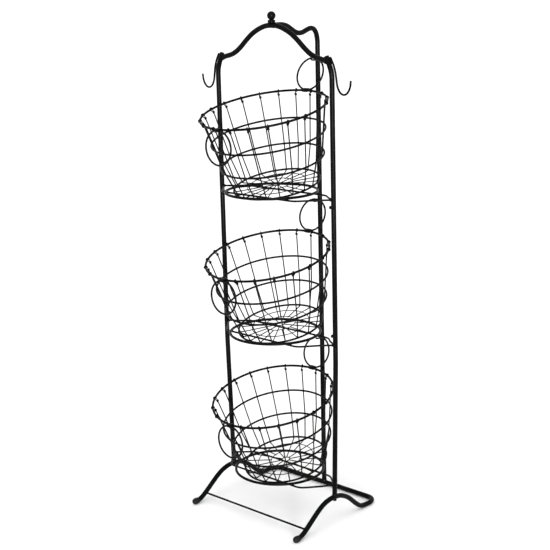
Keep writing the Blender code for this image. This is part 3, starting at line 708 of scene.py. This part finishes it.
def build_clip(b, where, sign):
    """Strap bent round the rim and the ring handle's wire; its ends meet below."""
    s = Shape()
    rim = b.place(RIM[0], sign * math.pi / 2, RIM[1])
    out = b.back * sign
    mid = rim + out * (OFFSET / 2)
    inner, thick = 3.2, 0.95
    centreline = []
    c = OFFSET / 2
    centreline += [(x, -1, None) for x in np.linspace(0.3, c, 4)[:-1]]
    for k in range(13):
        q = math.radians(-90 + 180 * k / 12)
        centreline.append((c, q, "arc"))
    centreline += [(x, 1, None) for x in np.linspace(c, -c, 6)[1:-1]]
    for k in range(13):
        q = math.radians(90 + 180 * k / 12)
        centreline.append((-c, q, "arc"))
    centreline += [(x, -1, None) for x in np.linspace(-c, -0.3, 4)[1:]]

    def point(entry, r):
        x, q, kind = entry
        if kind:
            return vec(x + r * math.cos(q), r * math.sin(q))
        return vec(x, r * q)

    n = len(centreline)
    half = CLIP_HALF
    # rounded cross-section: (distance across the strap, share of its thickness)
    section = [(-half + 0.35, 0), (half - 0.35, 0), (half - 0.1, 0.12), (half, 0.35), (half, 0.65), (half - 0.1, 0.88),
               (half - 0.35, 1), (-half + 0.35, 1), (-half + 0.1, 0.88), (-half, 0.65), (-half, 0.35), (-half + 0.1, 0.12)]
    verts, faces = [], []
    for e in centreline:
        for x, t in section:
            p = point(e, inner + thick * t)
            verts.append(mid + out * p[0] + b.axis * p[1] + vec(x, 0, 0))
    m = len(section)
    for i in range(n - 1):
        for k in range(m):
            k2 = (k + 1) % m
            faces.append((i * m + k, i * m + k2, (i + 1) * m + k2, (i + 1) * m + k))
    faces.append(tuple(range(m))[::-1])
    faces.append(tuple((n - 1) * m + k for k in range(m)))
    s.add(verts, faces)
    node = "handle_clip_%s_%s" % (where, b.tier)
    piece(node + "_surface", s, node, "basket_" + b.tier, "basket_wire", BASKET, sharp=45)


def build_handle(b, where, sign, direction):
    s = Shape()
    pivot = b.place(RIM[0] + OFFSET, sign * math.pi / 2, RIM[1])
    d = unit(direction)
    wire_ring(s, pivot + d * HANDLE_R, vec(1, 0, 0), d, HANDLE_R, HANDLE_WIRE, 144, 18, seam=0.62, seam_width=2.2, rise=0.12)
    node = "ring_handle_%s_%s" % (where, b.tier)
    piece(node + "_surface", s, node, "handle_%s_%s" % (where, b.tier), "handle_wire", HANDLE)
    return pivot


def build_hook(b, pivot):
    s = Shape()
    top = pivot + vec(0, math.sin(LEAN), math.cos(LEAN)) * (2 * HANDLE_R)
    face = Y0 + Y_REAR - TUBE_R
    z = top[2] - (HANDLE_WIRE - 2.0) - (HANDLE_R - math.sqrt(HANDLE_R ** 2 - top[0] ** 2))
    pts = [vec(0, face + 1.5, z - 4.9), vec(0, face - 2, z - 4.9), vec(0, top[1] + 3.0, z - 4.8),
           vec(0, top[1] - 3.0, z - 4.7), vec(0, top[1] - 7.5, z - 4.0), vec(0, top[1] - 10.6, z - 1.9)]
    sweep(s, curve(pts, 0.9), 2.0, 18, ref=(1, 0, 0), end=[(-0.3, 0), (-0.2, 0.8), (0.1, 1.35), (0.6, 1.8), (1.2, 2.0)])
    collar(s, vec(0, face - 0.2, z - 4.9), (0, -1, 0), 2.0, 1.4, 3.2, 4.0 + len(b.tier), sides=22)
    frame_piece("rear_hook_" + b.tier, s)


build_base()
build_posts()
build_top()
build_screws()
for tier in ("bottom", "middle", "top"):
    build_tray(tier)
    basket = Basket(tier)
    build_hoops(basket)
    build_cage(basket)
    build_clip(basket, "front", -1)
    build_clip(basket, "rear", 1)
    build_handle(basket, "front", -1, (0, 0, -1))
    rear_pivot = build_handle(basket, "rear", 1, (0, math.sin(LEAN), math.cos(LEAN)))
    build_hook(basket, rear_pivot)


# ------------------------------------------------------------------ the stage
def build_floor():
    mesh = bpy.data.meshes.new("studio_floor")
    e = 900.0
    mesh.from_pydata([(-e, -e, -0.0006), (e, -e, -0.0006), (e, e, -0.0006), (-e, e, -0.0006)], [], [(0, 1, 2, 3)])
    mat, tree, bsdf = nodes_of("floor_matte_white")
    coord = tree.nodes.new("ShaderNodeTexCoord")
    n = noise(tree, coord, 3.0, 2.0)
    r = ramp(tree, n, "Fac", [(0.3, 0.95), (0.7, 0.965)])
    tree.links.new(r.outputs["Color"], bsdf.inputs["Base Color"])
    bsdf.inputs["Roughness"].default_value = 0.9
    bsdf.inputs["Specular IOR Level"].default_value = 0.1
    mesh.materials.append(mat)
    ob = bpy.data.objects.new("studio_floor", mesh)
    bpy.context.scene.collection.objects.link(ob)


def sun(name, azimuth, elevation, energy, angle):
    light = bpy.data.lights.new(name, "SUN")
    light.energy = energy
    light.angle = math.radians(angle)
    ob = bpy.data.objects.new(name, light)
    a, e = math.radians(azimuth), math.radians(elevation)
    back = Vector((math.sin(a) * math.cos(e), -math.cos(a) * math.cos(e), math.sin(e)))
    ob.rotation_mode = "QUATERNION"
    ob.rotation_quaternion = (-back).to_track_quat("-Z", "Y")
    ob.location = back * 4
    bpy.context.scene.collection.objects.link(ob)


def build_light():
    world = bpy.data.worlds.new("studio_world")
    bpy.context.scene.world = world
    world.use_nodes = True
    bg = world.node_tree.nodes["Background"]
    bg.inputs["Color"].default_value = (1.0, 1.0, 1.0, 1)
    bg.inputs["Strength"].default_value = 1.0
    sun("front_soft", 48, 2, 7.0, 10)
    sun("key_soft", 15, 48, 0.45, 35)
    sun("overhead", 60, 76, 0.32, 70)


def build_camera():
    az, pitch, roll = math.radians(42.89), math.radians(13.68), math.radians(-1.42)
    r = vec(math.cos(az), math.sin(az), 0)
    fwd = vec(-math.sin(az) * math.cos(pitch), math.cos(az) * math.cos(pitch), -math.sin(pitch))
    u = np.cross(r, fwd)
    right = r * math.cos(roll) + u * math.sin(roll)
    up = -r * math.sin(roll) + u * math.cos(roll)
    cam = bpy.data.cameras.new("photo_camera")
    cam.sensor_width = 36.0
    cam.lens = 1225.6 * 36.0 / 550.0
    cam.clip_start, cam.clip_end = 0.05, 2500.0
    ob = bpy.data.objects.new("photo_camera", cam)
    m = Matrix((( right[0], up[0], -fwd[0], 1.94796), (right[1], up[1], -fwd[1], -2.09471),
                (right[2], up[2], -fwd[2], 1.29260), (0, 0, 0, 1)))
    ob.matrix_world = m
    bpy.context.scene.collection.objects.link(ob)
    bpy.context.scene.camera = ob


build_floor()
build_light()
build_camera()
bpy.context.scene.view_settings.view_transform = "Standard"
bpy.context.view_layer.update()
